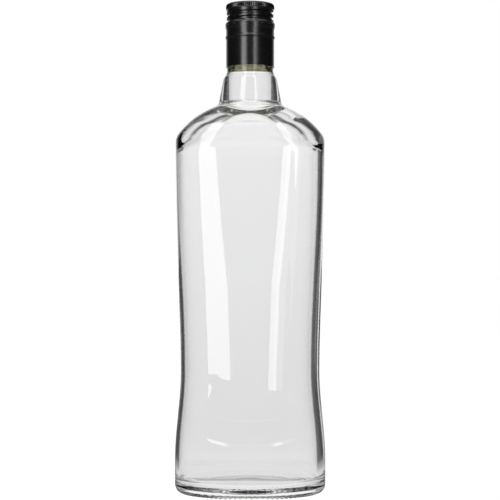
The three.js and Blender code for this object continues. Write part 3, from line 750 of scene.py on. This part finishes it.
def lacquer(piece, outside_coat, inside_coat):
    """Coats both sides of the sheet: inside are faces that look at the axis or down at the liner."""
    piece.data.materials.append(outside_coat)
    piece.data.materials.append(inside_coat)
    for polygon in piece.data.polygons:
        x, y, z = polygon.center
        faces_axis = polygon.normal.x * x + polygon.normal.y * y < -0.5 * math.hypot(x, y)
        is_ceiling = polygon.normal.z < -0.9 and z > (cap_high - CEILING_DROP) * MM
        polygon.material_index = 1 if faces_axis or is_ceiling else 0


def gold_lacquer():
    material = bpy.data.materials.new("gold_lacquer")
    shader = Shader(material)
    spot = shader.object_place()
    drawn = shader.node("ShaderNodeMapping", Vector=spot, Scale=(1, 1, 14))
    streaks = shader.node("ShaderNodeTexNoise", Vector=drawn, Scale=160.0, Detail=2.0)
    tone = shader.ramp(streaks, ((0.3, (0.88, 0.86, 0.5)), (0.7, (0.97, 0.95, 0.62))))
    surface = shader.node("ShaderNodeBsdfPrincipled", Base_Color=tone, Metallic=0.2, Roughness=0.5)
    shader.node("ShaderNodeOutputMaterial", Surface=surface)
    return material


def liner_foam():
    material = bpy.data.materials.new("liner_foam")
    shader = Shader(material)
    spot = shader.object_place()
    cells = shader.node("ShaderNodeTexNoise", Vector=spot, Scale=1400.0, Detail=3.0)
    tone = shader.ramp(cells, ((0.3, (0.82, 0.81, 0.76)), (0.7, (0.9, 0.89, 0.85))))
    normal = shader.node("ShaderNodeBump", Strength=0.2, Distance=0.0002, Height=cells)
    surface = shader.node("ShaderNodeBsdfPrincipled", Base_Color=tone, Roughness=0.75, Normal=normal)
    shader.node("ShaderNodeOutputMaterial", Surface=surface)
    return material


def look_by_ray(shader, mirrored, inside, straight):
    """Brightness of the studio for rays off a front surface, for rays that the glass turned inside, and for
    rays straight through it. It is raised for light on its way through the glass to a matt surface."""
    through = shader.path("Transmission Depth").above(0.5)
    matt = shader.path("Diffuse Depth").above(0.5)
    turned = shader.path("Glossy Depth").above(0.5) * (1 - matt)
    look = 1 - turned * (1 - through) * (1 - mirrored) - turned * through * (1 - inside)
    return look - through * (1 - turned) * (1 - straight) + through * matt * LIGHT_THROUGH_GLASS


def rays_for_looks(shader):
    """1 for rays that show the studio: seen directly, in a reflection or through glass."""
    seen = shader.path("Is Camera Ray") + shader.path("Is Glossy Ray") + shader.path("Is Transmission Ray")
    return seen.at_most(1)


def white_floor():
    """A white table: dark for rays that leave the glass sideways, light under and behind the bottle."""
    material = bpy.data.materials.new("white_floor")
    shader = Shader(material)
    x, y, _ = shader.split(shader.object_place())
    reach = (x * x + y * y).root()
    near = (1.6 - reach * 8).clipped()
    behind = ((y * 0.2 + 0.03 - x.size()) * 12).clipped()
    aside = ((x.size() / reach - 0.6) * 4).clipped()
    inside_look = 0.06 + 0.84 * near.at_least(behind).at_least(aside * 0.14)
    distance = (y + 0.92).at_least(0.3)
    straight_look = (0.97 - 0.1 / distance - 0.12 * (x.size() / distance).at_most(0.5)).at_least(0.6)
    shadow = shader.path("Is Camera Ray") * SHADOW_SHARE
    look = look_by_ray(shader, MIRRORED_FLOOR_LOOK, inside_look, straight_look) + shadow
    plain = shader.node("ShaderNodeBsdfDiffuse", Color=(0.9, 0.9, 0.9, 1))
    glow = shader.node("ShaderNodeEmission", Color=look, Strength=1)
    surface = shader.node("ShaderNodeMixShader", Fac=rays_for_looks(shader) - shadow, i1=plain, i2=glow)
    shader.node("ShaderNodeOutputMaterial", Surface=surface)
    return material


def white_studio():
    """White behind the bottle, a lit ceiling band, and dark sides for rays that the glass turns."""
    world = bpy.data.worlds.new("white_studio")
    bpy.context.scene.world = world
    shader = Shader(world)
    x, y, z = shader.split(shader.node("ShaderNodeTexCoord", output="Generated"))
    backdrop = ((y - 0.965) * 35).clipped()
    ceiling = ((z - 0.14) * 2.6).clipped() * (1 - (z - 0.68) * 8).clipped()
    aside = ((x.size() - 0.6) * 4).clipped()
    inside_look = 0.05 + 0.85 * backdrop.at_least(ceiling * 0.9).at_least(aside * 0.15)
    straight_look = (0.97 + z * 0.4 - x.size().at_most(0.3) * 0.12).at_most(1)
    mirrored_look = 0.018 + 0.8 * ((y - 0.7) * 4).clipped() + 0.9 * ((z - 0.68) * 6).clipped()
    for_looks = rays_for_looks(shader)
    look = look_by_ray(shader, mirrored_look, inside_look, straight_look)
    brightness = look * for_looks + PLAIN_LIGHT * (1 - for_looks)
    surface = shader.node("ShaderNodeBackground", Color=brightness, Strength=1)
    shader.node("ShaderNodeOutputWorld", Surface=surface)


def soft_box(name, azimuth, distance, height, width, tall, power):
    """An upright lamp that faces the bottle. Azimuth is 0 on the viewer's side and grows to the right."""
    turn = math.radians(azimuth)
    light = bpy.data.lights.new(name, "AREA")
    light.shape = "RECTANGLE"
    light.size = width
    light.size_y = tall
    light.energy = power
    lamp = bpy.data.objects.new(name, light)
    lamp.location = (distance * math.sin(turn), -distance * math.cos(turn), height)
    lamp.rotation_euler = (math.pi / 2, 0, turn)
    lamp.visible_camera = False
    lamp.visible_transmission = False
    bpy.context.scene.collection.objects.link(lamp)
    return lamp


def make_camera():
    lens = bpy.data.cameras.new("camera")
    lens.sensor_width = 36
    lens.lens = CAMERA_LENS
    lens.clip_start = 0.01
    camera = bpy.data.objects.new("camera", lens)
    camera.location = CAMERA_PLACE
    camera.rotation_euler = (math.pi / 2, 0, 0)
    bpy.context.scene.collection.objects.link(camera)
    bpy.context.scene.camera = camera


def make_floor():
    deselect_all()
    bpy.ops.mesh.primitive_plane_add(size=FLOOR_SIZE, location=(0, 0, 0))
    floor = bpy.context.object
    floor.name = "floor"
    floor.data.materials.append(white_floor())


bpy.context.scene.view_settings.view_transform = "Standard"
bpy.context.scene.cycles.max_bounces = 24
bpy.context.scene.cycles.glossy_bounces = 16
bpy.context.scene.cycles.transmission_bounces = 20
make_camera()
make_floor()
white_studio()
soft_box("strip_left", -29.5, 0.53, STRIP_HEIGHT, 0.2, STRIP_LENGTH, 3.8)
soft_box("strip_right", 22, 0.5, STRIP_HEIGHT, 0.085, STRIP_LENGTH, 1.35)
soft_box("strip_right_edge", 29, 0.5, STRIP_HEIGHT, 0.12, STRIP_LENGTH, 0.5)
overhead = soft_box("overhead", 0, 0.86, 1.5, 0.9, 0.5, 1.7)
overhead.rotation_euler = (OVERHEAD_TILT, 0, 0)

glass = make_glass()
glass.data.materials.append(clear_glass())
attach(glass, "glass_bottle")
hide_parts("bottle")

outside_coat = black_lacquer()
inside_coat = gold_lacquer()

cap = make_cap()
lacquer(cap, outside_coat, inside_coat)
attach(cap, "cap")
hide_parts("cap_shell")

band = make_band()
lacquer(band, outside_coat, inside_coat)
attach(band, "glass_bottle")
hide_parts("tamper_band")

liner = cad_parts["liner"]
foam = liner_foam()
for material_slot in liner.material_slots:
    material_slot.material = foam
